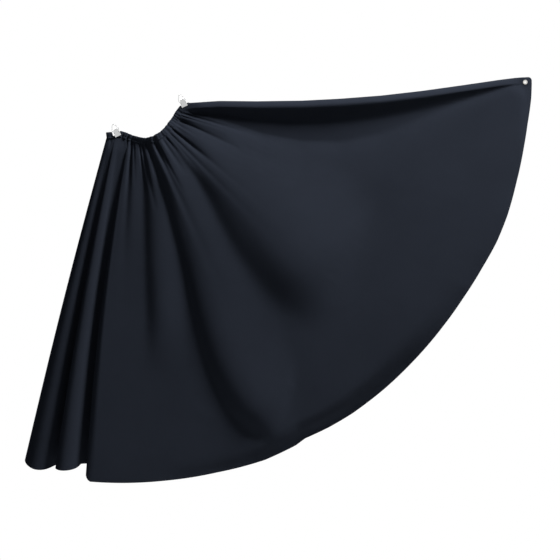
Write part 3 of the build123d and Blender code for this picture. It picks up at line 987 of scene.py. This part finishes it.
# Every column's point at one share of the way from waist to hem
def rowAt(cells, v, share):
    j = np.clip(np.searchsorted(v, share) - 1, 0, len(v) - 2)
    t = (share - v[j]) / (v[j + 1] - v[j])
    return cells[:, j] * (1 - t) + cells[:, j + 1] * t


trims = {-1: [], 1: []}
for side, made in layers.items():
    points, v = made["points"], made["v"]
    normals = made["normals"] = gridNormals(points) * -side       # both point out of the skirt
    hemRows, hemMap = [], []
    for rise, out in trim["hemSection"]:
        share = 1 - rise / cut["hemRadius"]
        hemRows.append(rowAt(points, v, share) + rowAt(normals, v, share) * out * trim["hemGap"])
        hemMap.append(rowAt(made["flatMap"], v, share))
    strip = gridObject("hemFront" if side < 0 else "hemBack", np.stack(hemRows, axis=1)[trim["hemEnds"]],
                       np.stack(hemMap, axis=1)[trim["hemEnds"]], flip=side < 0)
    thicken(strip, trim["hemThick"])
    for piece in (strip, made["sheet"]):
        piece.data.materials.append(navyCloth)
    trims[side].append(strip)


# A bound strip that hangs inside along an edge of the skirt
def seamStrip(name, edge, inwards):
    steps = trim["seamSteps"]
    points = np.stack([edge + np.array(inwards) * s for s in steps], axis=1)
    along = lengthsAlong(edge)
    flatMap = np.stack(np.broadcast_arrays(along[:, None], np.array(steps)[None, :]), axis=-1)
    obj = thicken(gridObject(name, points, flatMap), trim["seamThick"])
    obj.data.materials.append(bindingTape)
    return obj


front, back = layers[-1], layers[1]
topEdge = (front["points"][0] + back["points"][0]) / 2
gatherEdge = (front["points"][-1] + back["points"][-1]) / 2
rightSideSeam = seamStrip("rightSideSeam", topEdge[trim["topSeamRows"]], (0, 0, -1))
leftSideSeam = seamStrip("leftSideSeam", gatherEdge[trim["gatherSeamRows"]], (1, 0, 0))


# Stitches as small thread beads, evenly spaced along a line of edges
def makeStitchTree():
    values = {"Stitch Step": trim["stitchStep"], "Stitch Length": trim["stitchLength"],
              "Thread Radius": trim["threadRadius"]}
    inputs = [("Geometry", "Geometry"), *((label, "Float") for label in values), ("Thread", "Material")]
    tree, start, end = newGroup("threadStitches", inputs, [("Geometry", "Geometry")], "GeometryNodeTree")
    for socket in tree.interface.items_tree:
        if socket.name in values:
            socket.default_value = values[socket.name]
    nodes, links = tree.nodes, tree.links
    line = nodes.new("GeometryNodeMeshToCurve")
    spaced = nodes.new("GeometryNodeResampleCurve")
    spaced.mode = "LENGTH"
    tangent = nodes.new("GeometryNodeInputTangent")
    turn = nodes.new("FunctionNodeAlignRotationToVector")
    turn.axis = "X"
    bead = nodes.new("GeometryNodeMeshUVSphere")
    bead.inputs["Segments"].default_value, bead.inputs["Rings"].default_value = 6, 4
    bead.inputs["Radius"].default_value = 1.0
    half = mathNode(tree, "MULTIPLY", start.outputs["Stitch Length"], 0.5)
    size = nodes.new("ShaderNodeCombineXYZ")
    place = nodes.new("GeometryNodeInstanceOnPoints")
    real = nodes.new("GeometryNodeRealizeInstances")
    paint = nodes.new("GeometryNodeSetMaterial")
    for a, b in (
        (start.outputs["Geometry"], line.inputs[0]), (line.outputs[0], spaced.inputs["Curve"]),
        (start.outputs["Stitch Step"], spaced.inputs["Length"]), (tangent.outputs[0], turn.inputs["Vector"]),
        (half, size.inputs["X"]), (start.outputs["Thread Radius"], size.inputs["Y"]),
        (start.outputs["Thread Radius"], size.inputs["Z"]),
        (spaced.outputs[0], place.inputs["Points"]), (bead.outputs["Mesh"], place.inputs["Instance"]),
        (turn.outputs[0], place.inputs["Rotation"]), (size.outputs[0], place.inputs["Scale"]),
        (place.outputs[0], real.inputs[0]), (real.outputs[0], paint.inputs["Geometry"]),
        (start.outputs["Thread"], paint.inputs["Material"]), (paint.outputs[0], end.inputs[0]),
    ):
        links.new(a, b)
    return tree


stitchTree = makeStitchTree()


# One piece with all the stitches along the given lines of points
def stitchLine(name, lines, step=trim["stitchStep"]):
    points, edges = [], []
    for line in lines:
        first = len(points)
        points += [tuple(p) for p in line]
        edges += [(first + i, first + i + 1) for i in range(len(line) - 1)]
    mesh = bpy.data.meshes.new(name + "Line")
    mesh.from_pydata(points, edges, [])
    source = addObject(name + "Line", mesh)
    wires = source.modifiers.new("stitches", "NODES")
    wires.node_group = stitchTree
    sockets = {s.name: s.identifier for s in stitchTree.interface.items_tree if s.in_out == "INPUT"}
    wires[sockets["Stitch Step"]] = step
    wires[sockets["Stitch Length"]] = step * trim["stitchLength"] / trim["stitchStep"]
    wires[sockets["Thread Radius"]] = trim["threadRadius"]
    wires[sockets["Thread"]] = navyThread
    graph = bpy.context.evaluated_depsgraph_get()
    plain = bpy.data.meshes.new_from_object(source.evaluated_get(graph))
    bpy.data.objects.remove(source)
    beadMap = plain.uv_layers[0] if plain.uv_layers else plain.uv_layers.new()
    beadMap.name = "cutMap"
    return addObject(name, plain)


for side, made in layers.items():
    share = 1 - trim["hemStitchRise"] / cut["hemRadius"]
    lift = cut["clothThick"] / 2 + trim["threadRadius"] * 0.4
    row, facing = rowAt(made["points"], made["v"], share), rowAt(made["normals"], made["v"], share)
    lines = [(row + facing * out)[trim["stitchEnds"]] for out in (lift, -trim["hemGap"] - lift)]
    trims[side].append(stitchLine("hemStitchesFront" if side < 0 else "hemStitchesBack", lines))
points, _ = bandRing([band["stitchRow"]], band["columns"], band["ruffle"], band["scallop"])
half = band["columns"]
lines = [points[4:half - 3, 0], points[half + 4:-4, 0]]
bandStitches = stitchLine("waistStitches", lines, band["stitchStep"])
print("hems, seams and stitches ready")


def join(piece, nodes):
    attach(piece, "root")
    if nodes:
        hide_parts(*nodes)
    return piece


for made, word in ((front, "front"), (back, "back")):
    hem, stitches = trims[made["side"]]
    join(made["sheet"], [word + "_panel"])
    join(hem, [word + "_hem"])
    join(stitches, [])
join(rightSideSeam, ["right_side_seam"])
join(leftSideSeam, ["left_side_seam"])
join(waistCasing, ["waist_casing_front", "waist_casing_back"])
join(waistElastic, ["waist_elastic"])
join(bandStitches, [])

metalOf = {"jaw": chrome, "bail": chrome, "pin": springSteel, "spring": springSteel,
           "eyelet": eyeletNickel, "washer": eyeletNickel}
for name, node in frame["nodes"].items():
    for word, metal in metalOf.items():
        if name.endswith(word):
            node.data.materials.clear()
            node.data.materials.append(metal)
# each torsion spring between its jaws is copied from its part as one welded piece that stays in place
for side, clip in clips.items():
    node = frame["nodes"][side + "_clip_spring"]
    spring = addObject(side + "Spring", node.data.copy())
    weld(spring)
    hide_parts(side + "_clip_spring")
    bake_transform(spring)
print("pieces placed")
